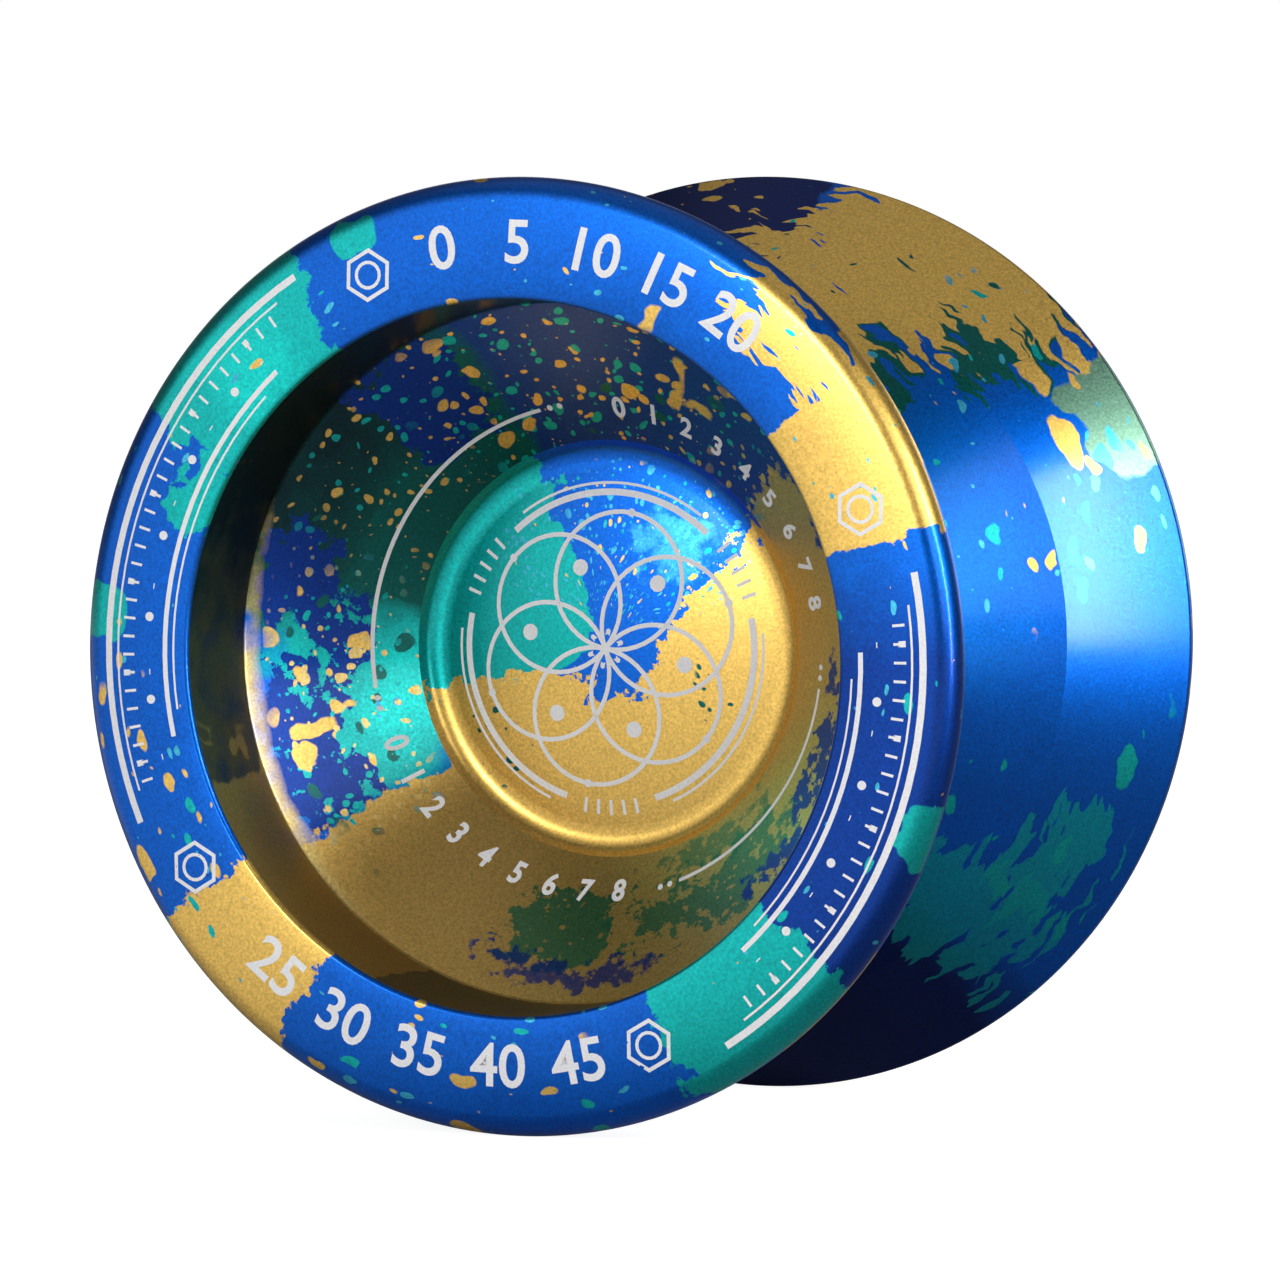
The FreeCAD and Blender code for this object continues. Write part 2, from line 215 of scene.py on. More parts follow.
class DyeCoat:
    """Builds up the colour of one side of a half, layer by layer, over a ground dye: its dyes, and in places
    painted shade and painted highlights.

    Angles are in degrees from the right, places and reaches in millimetres.  No layer may cross the seam, the
    angle at which the polar places start again."""

    def __init__(self, name, seam, ground):
        self.seam = seam
        self.ground = ground
        self.material = bpy.data.materials.new(name)
        self.material.use_nodes = True
        self.tree = self.material.node_tree
        self.shader = self.tree.nodes["Principled BSDF"]
        texture_place = add_node(self.tree, "TexCoord")
        self.place = self.vector("SCALE", ((0, texture_place.outputs["Object"]),), (("Scale", 1 / MM),))
        lobes = add_node(self.tree, "TexNoise", (("Vector", self.place),),
                         (("Scale", 0.33), ("Detail", 2.5), ("Roughness", 0.55)))
        shreds = add_node(self.tree, "TexNoise", (("Vector", self.place),),
                          (("Scale", 0.85), ("Detail", 4.0), ("Roughness", 0.62)))
        self.mottle = lobes.outputs[0]
        flat_place = self.vector("MULTIPLY", ((0, self.place),), ((1, (1, 0, 1)),))
        self.true_radius = self.vector("LENGTH", ((0, flat_place),))
        self.polar = self.polar_places(self.shifted(lobes.outputs["Color"], 2.4))
        self.drop_polar = self.polar_places(self.shifted(lobes.outputs["Color"], 1.6))
        streaks = self.vector("MULTIPLY", ((0, self.drop_polar),), ((1, (0.09, 1.3, 0)),))
        fingers = add_node(self.tree, "TexNoise", (("Vector", streaks),),
                           (("Scale", 1.0), ("Detail", 2.0), ("Roughness", 0.6)))
        self.fray = {kind: self.value("SUBTRACT", ((0, noise.outputs[0]),), ((1, 0.5),))
                     for kind, noise in (("smooth", lobes), ("shredded", shreds), ("fingered", fingers))}
        self.colour = None

    def value(self, operation, sources, values=()):
        return add_node(self.tree, "Math", sources, values, operation=operation).outputs[0]

    def vector(self, operation, sources, values=()):
        node = add_node(self.tree, "VectorMath", sources, values, operation=operation)
        return node.outputs["Value" if operation == "LENGTH" else "Vector"]

    def shifted(self, noise, amount):
        """Places pushed about by a noise."""
        centred = self.vector("SUBTRACT", ((0, noise),), ((1, (0.5, 0.5, 0.5)),))
        return self.vector("MULTIPLY_ADD", ((0, centred), (2, self.place)), ((1, (amount, amount, amount)),))

    def polar_places(self, places):
        """(angle from the seam in degrees, radius, 0)."""
        turned_places = add_node(self.tree, "VectorRotate", ((0, places),),
                                 (("Angle", math.radians(self.seam + 180)),),
                                 rotation_type="Y_AXIS").outputs[0]
        axes = add_node(self.tree, "SeparateXYZ", ((0, turned_places),))
        angle = self.value("ARCTAN2", ((0, axes.outputs["Z"]), (1, axes.outputs["X"])))
        degrees = self.value("MULTIPLY_ADD", ((0, angle),), ((1, math.degrees(1)), (2, 180.0)))
        flat = self.vector("MULTIPLY", ((0, turned_places),), ((1, (1, 0, 1)),))
        radius = self.vector("LENGTH", ((0, flat),))
        return add_node(self.tree, "CombineXYZ", ((0, degrees), (1, radius))).outputs[0]

    def patch(self, start, end, inner, outer, frayed=1.5, edge=0.1, kind="smooth"):
        """Rounded patch between two angles and two radii, with an edge that wanders, is shredded or runs out
        in fingers along the turn."""
        middle, half = ((start + end) / 2 - self.seam) % 360, (end - start) / 2
        radius, across = (inner + outer) / 2, (outer - inner) / 2
        narrow = min(math.radians(half) * radius, across)
        node = self.tree.nodes.new("ShaderNodeGroup")
        node.node_tree = splash_and_light_patch_group
        self.tree.links.new(self.polar, node.inputs["Place"])
        self.tree.links.new(self.fray[kind], node.inputs["Fray"])
        node.inputs["Shrink"].default_value = (1 / half, 1 / across, 0)
        node.inputs["Shift"].default_value = (-middle / half, -radius / across, 0)
        node.inputs["Fray Gain"].default_value = frayed / edge
        node.inputs["Edge Gain"].default_value = narrow / 2 / edge
        node.inputs["Edge Loss"].default_value = -narrow / 2 / edge
        return node.outputs["Mask"]

    def blot(self, angle, radius, along, across, frayed=1.0, edge=0.1, kind="smooth"):
        """Small patch about a place, drawn out along the turn."""
        half = math.degrees(along / radius)
        return self.patch(angle - half, angle + half, radius - across, radius + across, frayed, edge, kind)

    def drops(self, along, across, radius, size, seed):
        """A field of flung drops, each about as long and as wide as said at one radius."""
        node = self.tree.nodes.new("ShaderNodeGroup")
        node.node_tree = drops_group
        self.tree.links.new(self.drop_polar, node.inputs["Place"])
        node.inputs["Shrink"].default_value = (math.radians(radius) / along, 1 / across, 0)
        node.inputs["Shift"].default_value = (seed, seed, 0)
        node.inputs["Size"].default_value = size
        return node.outputs

    def flung(self, field, where, shares):
        """Paints part of a field of drops with one or more dyes."""
        low = 0.0
        for dye, share in shares:
            lots = self.value("COMPARE", ((0, field["Chance"]),), ((1, low + share / 2), (2, share / 2)))
            mask = self.both(self.both(lots, field["Mask"]), where)
            self.paint(dye, mask)
            low += share

    def both(self, one, other):
        return self.value("MULTIPLY", ((0, one), (1, other)))

    def paint(self, dye, mask, strength=1.0):
        """Lays a dye, painted shade or a painted highlight over those below it where the mask is."""
        if strength != 1.0:
            mask = self.value("MULTIPLY", ((0, mask),), ((1, strength),))
        layer = add_node(self.tree, "Mix", ((0, mask),), ((6, self.ground), (7, dye)), data_type="RGBA")
        if self.colour is not None:
            self.tree.links.new(self.colour, layer.inputs[6])
        self.colour = layer.outputs[2]

    def finish(self):
        skin = self.tree.nodes.new("ShaderNodeGroup")
        skin.node_tree = blast_group
        self.tree.links.new(self.place, skin.inputs["Vector"])
        shaded = self.vector("SCALE", ((0, self.colour), ("Scale", skin.outputs["Shade"])))
        bump = add_node(self.tree, "Bump", (("Height", skin.outputs["Height"]),),
                        (("Strength", 0.35), ("Distance", 0.000012)))
        self.tree.links.new(shaded, self.shader.inputs["Base Color"])
        self.tree.links.new(skin.outputs["Roughness"], self.shader.inputs["Roughness"])
        self.tree.links.new(bump.outputs[0], self.shader.inputs["Normal"])
        self.shader.inputs["Metallic"].default_value = 1.0
        self.shader.inputs["Coat Weight"].default_value = 0.3
        self.shader.inputs["Coat IOR"].default_value = 1.5
        self.shader.inputs["Coat Roughness"].default_value = 0.17
        return self.material


def slope_side(piece):
    """Gives the faces of the string slope and the weight wall the second material."""
    lip, crease = (10.0, 2.4), (22.4, 12.0)      # radius and depth just inside the metal
    slope_rise, wall_rise = 0.775, 1.09
    for face in piece.data.polygons:
        middle = face.center
        radius = math.hypot(middle.x, middle.z) / MM
        depth = abs(middle.y) / MM
        if radius < crease[0]:
            limit = lip[1] + max(0, radius - lip[0]) * slope_rise
        else:
            limit = crease[1] + (radius - crease[0]) * wall_rise
        face.material_index = int(depth < limit)


# the front face carries its dyes and, in the bowl, on the wall, hub and ring, painted shade and painted
# highlights
coat = DyeCoat("dye_and_painted_light_front_face", 245, BLUE)
coat.paint(NAVY, coat.mottle, 0.3)
# bowl: navy above, dark green and teal on the left, gold below and on the right; painted shade on the upper
# left and a painted highlight low on the left by the hub
coat.paint(INK, coat.patch(30, 122, 9.0, 23.0, 1.5, 0.6))
# green dye, laid darker than its own tone: painted shade on the upper left of the bowl
coat.paint(GREEN, coat.patch(108, 184, 9.0, 23.0, 3.0, 0.8))
# painted shade: a near-black patch where the upper left of the bowl lies in shade
coat.paint(PAINTED_SHADE, coat.patch(114, 176, 15.4, 24.0, 2.0, 2.2), 0.85)
coat.paint(TEAL, coat.patch(168, 217, 11.0, 20.5, 3.0, 1.0))
# painted highlight: bright aqua where the bowl near the hub catches the lamps on the right
coat.paint(AQUA, coat.patch(174, 208, 10.8, 15.6, 3.0, 1.6))
coat.paint(DEEP, coat.patch(113, 134, 14.6, 21.0, 4.0, 0.2, "shredded"))
coat.paint(DEEP, coat.patch(158, 177, 16.4, 20.4, 4.0, 0.2, "shredded"))
coat.paint(DEEP, coat.patch(169, 186, 15.0, 17.6, 5.0, 0.15, "shredded"))
coat.paint(DEEP, coat.patch(184, 218, 16.3, 20.4, 7.0, 0.15, "shredded"))
# gold dye, laid as brown: painted shade on the gold of the lower and right bowl
coat.paint(BROWN, coat.patch(214, 275, 5.0, 27.0, 3.0, 0.12, "shredded"))
coat.paint(BROWN, coat.patch(222, 402, 5.0, 27.0, 2.5, 0.12, "shredded"))
coat.paint(INK, coat.patch(-12, 60, 16.6, 24.0, 2.5, 0.2, "shredded"))
coat.paint(BEIGE, coat.patch(158, 236, 19.9, 22.0, 1.6, 0.5))
coat.paint(MOSS, coat.patch(254, 276, 14.6, 18.9, 5.0, 0.2, "shredded"), 0.9)
coat.paint(MOSS, coat.patch(282, 326, 14.6, 18.2, 7.0, 0.2, "shredded"), 0.85)
coat.paint(MOSS, coat.patch(290, 320, 12.8, 14.3, 4.0, 0.2, "shredded"), 0.7)
coat.paint(DEEP, coat.patch(254, 286, 18.2, 19.6, 3.5, 0.2, "shredded"), 0.85)
coat.paint(DEEP, coat.patch(327, 356, 15.2, 17.2, 5.0, 0.2, "shredded"))
coat.paint(DEEP, coat.patch(309, 327, 16.9, 18.3, 3.5, 0.2, "shredded"))
# flung drops in the bowl
fine = coat.drops(0.75, 0.55, 16.5, 0.34, 11.7)
small = coat.drops(1.25, 0.85, 16.5, 0.34, 7.3)
large = coat.drops(2.1, 1.4, 17.0, 0.34, 3.1)
coat.flung(fine, coat.patch(35, 168, 10.0, 22.5, 2.0, 1.5), ((GOLD, 0.30), (TEAL, 0.25)))
coat.flung(small, coat.patch(30, 130, 10.0, 22.5, 2.0, 1.5), ((GOLD, 0.30), (TEAL, 0.34)))
coat.flung(large, coat.patch(46, 232, 11.5, 20.8, 2.0, 1.0), ((GOLD, 0.42), (GREEN, 0.25)))
coat.flung(small, coat.patch(160, 226, 12.6, 20.0, 2.0, 1.0), ((TEAL, 0.3), (CYAN, 0.12), (BEIGE, 0.25)))
coat.flung(fine, coat.patch(160, 226, 12.6, 20.0, 2.0, 1.0), ((TEAL, 0.3), (BEIGE, 0.3)))
# gold drops laid brown: painted shade in the bowl
coat.flung(fine, coat.patch(254, 330, 14.0, 19.5, 2.0, 1.0), ((BROWN, 0.4),))
coat.paint(GOLD, coat.blot(68, 17.3, 0.4, 1.5, 1.2))
coat.paint(GOLD, coat.blot(63, 16.2, 0.9, 0.35, 1.2))
coat.paint(GOLD, coat.blot(196, 17.7, 0.55, 1.0, 1.0))
coat.paint(GOLD, coat.blot(193, 16.3, 0.35, 0.7, 1.0))
coat.paint(GOLD, coat.blot(201, 18.6, 0.5, 0.5, 1.0))
# side wall of the cup: painted shade all round it, and on its lower left gold dye laid brown as painted shade
wall = coat.value("COMPARE", ((0, coat.true_radius),), ((1, 20.78), (2, 0.11)))
coat.paint(PAINTED_SHADE, wall, 0.85)
coat.paint(BROWN, coat.both(wall, coat.patch(196, 262, 17.0, 25.0, 6.0, 0.3, "fingered")), 0.5)
# hub: teal on the left, blue above and in the middle, gold below and to the right, with a painted highlight
# on the upper right
hub = coat.value("LESS_THAN", ((0, coat.true_radius),), ((1, 12.4),))
coat.paint(BLUE, hub)
coat.paint(TEAL, coat.both(hub, coat.patch(112, 204, 1.0, 18.0, 4.0, 0.12, "shredded")))
# painted highlight: cyan on the upper right of the dome, where it faces the small lamp over the camera
coat.paint(CYAN, coat.patch(36, 78, 5.2, 9.6, 5.0, 0.9, "shredded"), 0.7)
coat.paint(GOLD, coat.both(hub, coat.patch(193, 276, 2.2, 21.0, 4.5, 0.08, "shredded")))
coat.paint(GOLD, coat.both(hub, coat.patch(214, 397, 3.0, 21.0, 4.5, 0.08, "shredded")))
coat.flung(fine, coat.patch(20, 150, 2.0, 11.6, 2.0, 0.5), ((CYAN, 0.5), (TEAL, 0.15), (BEIGE, 0.1)))
coat.flung(small, coat.patch(20, 110, 4.0, 11.6, 2.0, 0.5), ((CYAN, 0.4), (BEIGE, 0.15)))
coat.flung(small, coat.patch(330, 358, 5.5, 10.5, 2.0, 0.3), ((GREEN, 0.6),))
coat.flung(small, coat.patch(206, 232, 7.0, 11.8, 2.0, 0.3), ((GREEN, 0.5),))
# face ring, with painted shade on its right side
ring = coat.value("GREATER_THAN", ((0, coat.true_radius),), ((1, 20.89),))
coat.paint(BLUE, ring)
coat.paint(NAVY, coat.both(ring, coat.mottle), 0.25)
# painted shade: the right and lower right of the face ring laid darker, with a soft edge
coat.paint(DEEP, coat.both(ring, coat.patch(-64, 14, 18.0, 31.0, 1.0, 1.8)), 0.9)
coat.paint(TEAL, coat.both(ring, coat.patch(121, 149, 18.0, 31.0, 3.5, 0.15, "shredded")))
coat.paint(AQUA, coat.both(ring, coat.patch(126, 143, 20.0, 28.0, 3.0, 1.5)), 0.7)
coat.paint(TEAL, coat.both(ring, coat.patch(147, 161, 19.4, 23.6, 4.5, 0.15, "shredded")))
coat.paint(TEAL, coat.patch(109, 115, 25.4, 27.2, 1.5))
coat.paint(TEAL, coat.patch(172, 179, 24.9, 29.0, 1.5))
coat.paint(TEAL, coat.both(ring, coat.patch(295, 319, 18.0, 31.0, 3.6, 0.15, "shredded")))
coat.paint(TEAL, coat.patch(336, 343, 26.0, 29.0, 1.5))
coat.paint(GOLD, coat.both(ring, coat.patch(16.5, 38.5, 16.0, 33.0, 1.5, 0.1, "shredded")))
coat.paint(GOLD, coat.both(ring, coat.patch(34, 55, 23.6, 28.4, 9.0, 0.1, "fingered")))
coat.paint(GOLD, coat.blot(65, 21.7, 0.45, 0.9, 0.5))
coat.paint(GOLD, coat.both(ring, coat.patch(215, 237, 16.0, 33.0, 2.5, 0.1, "shredded")))
coat.flung(large, coat.both(ring, coat.patch(184, 216, 20.0, 29.0, 1.0, 0.4)), ((GOLD, 0.6),))
coat.flung(large, coat.both(ring, coat.patch(246, 284, 20.0, 29.0, 1.0, 0.4)), ((GOLD, 0.25),))
coat.flung(small, ring, ((GOLD, 0.06), (TEAL, 0.07)))
coat.flung(fine, ring, ((CYAN, 0.06),))
front.data.materials.clear()
front.data.materials.append(coat.finish())

coat = DyeCoat("dyed_front_slope", 0, BLUE)
coat.paint(NAVY, coat.mottle, 0.3)
coat.paint(TEAL, coat.patch(80, 120, 14.0, 26.0, 4.0, 0.3))
coat.paint(TEAL, coat.patch(235, 265, 20.0, 29.0, 4.0, 0.3))
coat.paint(GOLD, coat.patch(20, 60, 18.0, 29.0, 3.5))
coat.paint(GOLD, coat.patch(175, 215, 12.5, 23.5, 4.0))
coat.paint(GOLD, coat.patch(303, 327, 23.0, 28.5, 3.0))
coat.flung(coat.drops(2.4, 1.3, 20.0, 0.34, 5.0), coat.patch(5, 355, 11.0, 40.0, 0.0, 0.5),
           ((GOLD, 0.2), (TEAL, 0.15)))
front.data.materials.append(coat.finish())
slope_side(front)


# ---- etched marks of the front half ----------------------------------------------------------------------
# A dial burnt through the dye by laser: number scales above and below, graduated arcs at the sides, and a
# hexafoil on the hub.  The bared aluminium is a fine matt silver.

MARK_THICKNESS = 0.012 * MM
MARK_LIFT = 0.003 * MM
NUMERAL_SHARE = 0.7        # height of a numeral in a line of type


def drawn_place(radius, angle):
    """Place in the flat drawing of the dial, x to the right and z up."""
    angle = math.radians(angle)
    return Vector((radius * math.cos(angle) * MM, 0, radius * math.sin(angle) * MM))


def band(start, end, radius, width, middle=(0, 0), step=3.0):
    """Spins a short line into a band about a middle, between two angles.

    Only the faces that touch its start are left selected: in a full turn, the first one and the last.
    """
    middle = Vector((middle[0] * MM, 0, middle[1] * MM))
    bpy.ops.mesh.select_all(action="DESELECT")
    bpy.ops.mesh.primitive_plane_add(size=width * MM)
    bpy.ops.transform.resize(value=(1, 0, 1))
    bpy.ops.mesh.remove_doubles(threshold=MERGE / 10)
    bpy.ops.transform.translate(value=middle + Vector((radius * MM, 0, 0)))
    mesh = bmesh.from_edit_mesh(bpy.context.object.data)
    turn = Matrix.Rotation(math.radians(-start), 4, "Y")
    picked = [vertex for vertex in mesh.verts if vertex.select]
    for vertex in picked:
        vertex.co = middle + turn @ (vertex.co - middle)
    bmesh.update_edit_mesh(bpy.context.object.data)
    steps = max(1, round((end - start) / step))
    bpy.ops.mesh.spin(steps=steps, angle=math.radians(end - start), center=middle, axis=(0, 1, 0))
    mesh = bmesh.from_edit_mesh(bpy.context.object.data)
    for vertex in picked:
        for face in vertex.link_faces:
            face.select = True


def ticks(start, end, every, inner, outer, width):
    """Graduation lines, each a short band one step long."""
    for i in range(round((end - start) / every) + 1):
        angle = start + i * every
        half = math.degrees(width / 2 / ((inner + outer) / 2))
        band(angle - half, angle + half, (inner + outer) / 2, outer - inner, step=90)


def dot(angle, radius, size):
    place = drawn_place(radius, angle) / MM
    band(0, 360, size / 4, size / 2, (place.x, place.z), 30)


def number(text, angle, radius, height, feet_out, bold):
    """A numeral in flat places, upright for a reader at its own side of the dial."""
    bpy.ops.object.select_all(action="DESELECT")
    bpy.ops.object.text_add()
    letter = bpy.context.object
    letter.data.body = text
    letter.data.size = height * MM / NUMERAL_SHARE
    letter.data.offset = bold * MM
    letter.data.align_x = "CENTER"
    letter.data.align_y = "CENTER"
    letter.data.resolution_u = 5
    bpy.ops.object.convert(target="MESH")
    bpy.ops.object.mode_set(mode="EDIT")
    bpy.ops.mesh.select_all(action="SELECT")
    bpy.ops.mesh.remove_doubles(threshold=MERGE / 10)
    bpy.ops.mesh.quads_convert_to_tris()
    bpy.ops.mesh.subdivide(number_cuts=2)
    bpy.ops.object.mode_set(mode="OBJECT")
    lean = angle + 90 if feet_out else angle - 90
    leaning = Matrix.Rotation(math.radians(-lean), 4, "Y")
    stood_up = Matrix.Rotation(math.radians(90), 4, "X")
    letter.matrix_world = Matrix.Translation(drawn_place(radius, angle)) @ leaning @ stood_up
    bpy.ops.object.transform_apply(location=True, rotation=True, scale=True)
    return letter


def dial_marks(name, half, side):
    """Draws the dial flat, lays it on the outer face of a half and gives it a hair of thickness."""
    bpy.ops.object.select_all(action="DESELECT")
    bpy.ops.mesh.primitive_plane_add(size=MM)
    marks = bpy.context.object
    marks.name = marks.data.name = name
    bpy.ops.object.mode_set(mode="EDIT")
    bpy.ops.mesh.delete(type="VERT")
    # face ring, left and right: graduated arcs between lines, with hexagons at their ends
    for start, end in ((122, 203), (-58, 12)):
        for short, radius, width in ((0, 26.1, 0.42), (4, 25.45, 0.13), (10, 22.3, 0.30), (14, 21.75, 0.12)):
            band(start + short, end - short, radius, width)
        ticks(start + 6, end - 6, 2.5, 24.35, 25.1, 0.16)
        ticks(start + 11, end - 11, 12.5, 23.3, 25.1, 0.34)
        for angle in range(start + 17, end - 14, 12):
            dot(angle, 23.4, 0.55)
    for angle in (112, 212, -68, 22):
        place = drawn_place(24.0, angle) / MM
        band(30, 390, 1.45, 0.26, (place.x, place.z), 60)
        bpy.ops.mesh.subdivide(number_cuts=5)        # only the two sides at the start; four stay flat
        band(0, 360, 0.75, 0.20, (place.x, place.z), 20)
    # bowl: two long arcs with dots, between the small number scales
    band(104, 190, 14.6, 0.20)
    band(292, 352, 14.6, 0.20)
    for angle in (99, 101.5, 192.5, 195, 287, 289.5, 354.5, 357):
        dot(angle, 14.6, 0.34)
    # hub: hexafoil of six circles inside a broken ring, about a small hexagon
    for i in range(6):
        place = drawn_place(4.1, 60 * i + 20) / MM
        band(0, 360, 4.1, 0.27, (place.x, place.z), 8)
    for start in (-72, 48, 168):
        band(start, start + 84, 9.3, 0.40)
        band(start + 6, start + 78, 9.85, 0.16)
        ticks(start + 92, start + 112, 5.0, 9.05, 9.95, 0.20)
    band(20, 380, 1.05, 0.34, (0, 0), 60)
    dot(0, 0.0, 0.7)
    for i in range(6):
        dot(60 * i + 50, 5.1, 1.0)
        dot(60 * i + 20, 8.2, 0.5)
    bpy.ops.object.mode_set(mode="OBJECT")
    # number scales: count, first and step, angle and its step, radius, height, feet out or in
    numerals = [number(str(first + step * i), angle + turn * i, radius, height, feet_out, 0.05)
                for count, first, step, angle, turn, radius, height, feet_out in (
                    (5, 0, 5, 100, -11.5, 24.1, 2.5, False), (5, 25, 5, 231, 12.5, 23.9, 2.5, True),
                    (9, 0, 1, 84, -9.0, 14.4, 1.15, False), (9, 0, 1, 204, 9.0, 14.4, 1.15, True))
                for i in range(count)]
    bpy.ops.object.select_all(action="DESELECT")
    for piece in numerals:
        piece.select_set(True)
    marks.select_set(True)
    bpy.context.view_layer.objects.active = marks
    bpy.ops.object.join()
    bpy.ops.object.mode_set(mode="EDIT")
    bpy.ops.mesh.select_all(action="SELECT")
    bpy.ops.mesh.remove_doubles(threshold=MERGE)
    bpy.ops.object.mode_set(mode="OBJECT")
    # turn the drawing to its side, and lay it on the metal
    marks.matrix_world = (Matrix.Translation((0, side * 30 * MM, 0))
                          @ Matrix.Rotation(0 if side < 0 else math.pi, 4, "Z"))
    bpy.ops.object.transform_apply(location=True, rotation=True, scale=True)
    wrap = marks.modifiers.new("laid_on", "SHRINKWRAP")
    wrap.target = half
    wrap.wrap_method = "PROJECT"
    wrap.use_project_y = True
    wrap.use_negative_direction = side > 0
    wrap.use_positive_direction = side < 0
    wrap.offset = MARK_LIFT
    bpy.ops.object.modifier_apply(modifier=wrap.name)
    wall = marks.modifiers.new("thickness", "SOLIDIFY")
    wall.thickness = MARK_THICKNESS
    wall.offset = 1.0
    bpy.ops.object.modifier_apply(modifier=wall.name)
    bpy.ops.object.shade_smooth_by_angle(angle=math.radians(30))
    return marks


front_marks = dial_marks("etched_dial_front", front, -1)
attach(front_marks, "spool")

etched = bpy.data.materials.new("etched_silver")
etched.use_nodes = True
tree = etched.node_tree
shader = tree.nodes["Principled BSDF"]
texture_place = add_node(tree, "TexCoord")
grain = add_node(tree, "TexNoise", (("Vector", texture_place.outputs["Object"]),),
                 (("Scale", 9000.0), ("Detail", 2.0)))
tone = add_node(tree, "Mix", ((0, grain.outputs[0]),), ((6, (0.66, 0.66, 0.69, 1)), (7, (1.0, 1.0, 1.0, 1))),
                data_type="RGBA")
matt = add_node(tree, "Math", ((0, grain.outputs[0]),), ((1, 0.25), (2, 0.48)), operation="MULTIPLY_ADD")
bump = add_node(tree, "Bump", (("Height", grain.outputs[0]),), (("Strength", 0.4), ("Distance", 0.00001)))
tree.links.new(tone.outputs[2], shader.inputs["Base Color"])
tree.links.new(matt.outputs[0], shader.inputs["Roughness"])
tree.links.new(bump.outputs[0], shader.inputs["Normal"])
shader.inputs["Metallic"].default_value = 0.2
front_marks.data.materials.clear()
front_marks.data.materials.append(etched)


# ---- rear half -------------------------------------------------------------------------------------------
# The same turned piece, turned round.  Its dye was thrown separately, so its splashes lie elsewhere.

# a greener, brighter blue: painted light where the rear slope faces the lamps on the right
PAINTED_LIT_BLUE = (0.0, 0.20, 0.72, 1)
PALE = (0.15, 0.31, 0.22, 1)

rear = turned("turned_half_rear", half_outline, 1)
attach(rear, "rear_side")
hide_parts("rear_half")

coat = DyeCoat("dyed_rear_face", 140, BLUE)
coat.paint(NAVY, coat.mottle, 0.3)
coat.paint(BROWN, coat.patch(60, 138, 5.0, 24.0, 2.5, 0.2))
coat.paint(INK, coat.patch(205, 290, 9.0, 23.0, 2.5, 0.5))
coat.paint(TEAL, coat.patch(318, 368, 9.0, 22.0, 3.0, 0.5))
coat.paint(GREEN, coat.patch(160, 200, 12.0, 20.0, 5.0, 0.3, "shredded"))
coat.paint(BLUE, coat.value("GREATER_THAN", ((0, coat.true_radius),), ((1, 20.8),)))
coat.paint(GOLD, coat.patch(46, 74, 18.0, 31.0, 2.0))
coat.paint(GOLD, coat.patch(272, 290, 18.0, 31.0, 2.0))
coat.paint(TEAL, coat.patch(152, 180, 18.0, 31.0, 2.4, 0.2))
coat.paint(TEAL, coat.patch(5, 22, 18.0, 31.0, 2.4, 0.2))
coat.paint(GOLD, coat.patch(250, 420, 3.0, 12.0, 4.5, 0.1, "shredded"))
small = coat.drops(1.25, 0.85, 16.5, 0.34, 2.3)
large = coat.drops(2.1, 1.4, 17.0, 0.34, 9.1)
coat.flung(small, coat.patch(200, 300, 10.0, 22.5, 2.0, 1.5), ((GOLD, 0.3), (TEAL, 0.2), (GREEN, 0.2)))
coat.flung(large, coat.patch(145, 495, 11.5, 40.0, 1.0, 1.0), ((GOLD, 0.2), (TEAL, 0.15)))
rear.data.materials.clear()
rear.data.materials.append(coat.finish())

coat = DyeCoat("dye_and_painted_light_rear_slope", 240, BLUE)
# painted light: the right and upper right of the rear slope laid in a brighter, greener blue, with a soft
# edge
coat.paint(PAINTED_LIT_BLUE, coat.patch(-16, 66, -6.0, 22.3, 0.5, 3.0))
coat.paint(NAVY, coat.mottle, 0.25)
# painted shade: the bottom of the rear slope laid darker, with a soft edge
coat.paint(NAVY, coat.patch(252, 312, 9.0, 34.0, 3.0, 3.0))
coat.paint(NAVY, coat.patch(80, 126, 9.0, 34.0, 3.0, 0.4, "shredded"))
coat.paint(GREEN, coat.patch(39, 80, 22.0, 32.0, 8.0, 0.15, "fingered"))
coat.paint(GREEN, coat.patch(50, 90, 18.6, 24.0, 8.0, 0.15, "fingered"))
coat.paint(GOLD, coat.patch(43, 80, 24.3, 32.0, 6.0, 0.1, "fingered"))
coat.paint(GOLD, coat.patch(49, 88, 21.0, 26.5, 7.0, 0.1, "fingered"))
coat.paint(GOLD, coat.patch(60, 97, 17.6, 24.6, 6.0, 0.1, "fingered"))
coat.paint(GOLD, coat.patch(32, 50, 26.4, 28.9, 7.0, 0.1, "fingered"))
coat.paint(PALE, coat.patch(21, 39, 25.3, 28.4, 1.4, 0.12))
coat.paint(TEAL, coat.patch(303, 322, 15.5, 26.6, 9.0, 0.15, "fingered"), 0.65)
coat.paint(TEAL, coat.patch(318, 334, 22.5, 26.5, 9.0, 0.12, "fingered"), 0.7)
fine = coat.drops(1.4, 0.6, 22.0, 0.36, 6.6)
small = coat.drops(2.3, 0.9, 22.0, 0.36, 8.4)
large = coat.drops(4.4, 1.5, 22.0, 0.36, 4.7)
coat.flung(large, coat.patch(20, 64, 16.0, 27.5, 2.0, 0.5), ((GOLD, 0.5), (CYAN, 0.12)))
coat.flung(small, coat.patch(0, 62, 14.0, 28.0, 2.0, 0.5), ((CYAN, 0.14), (TEAL, 0.10), (GOLD, 0.10)))
coat.flung(fine, coat.patch(0, 62, 14.0, 28.0, 2.0, 0.5), ((CYAN, 0.18),))
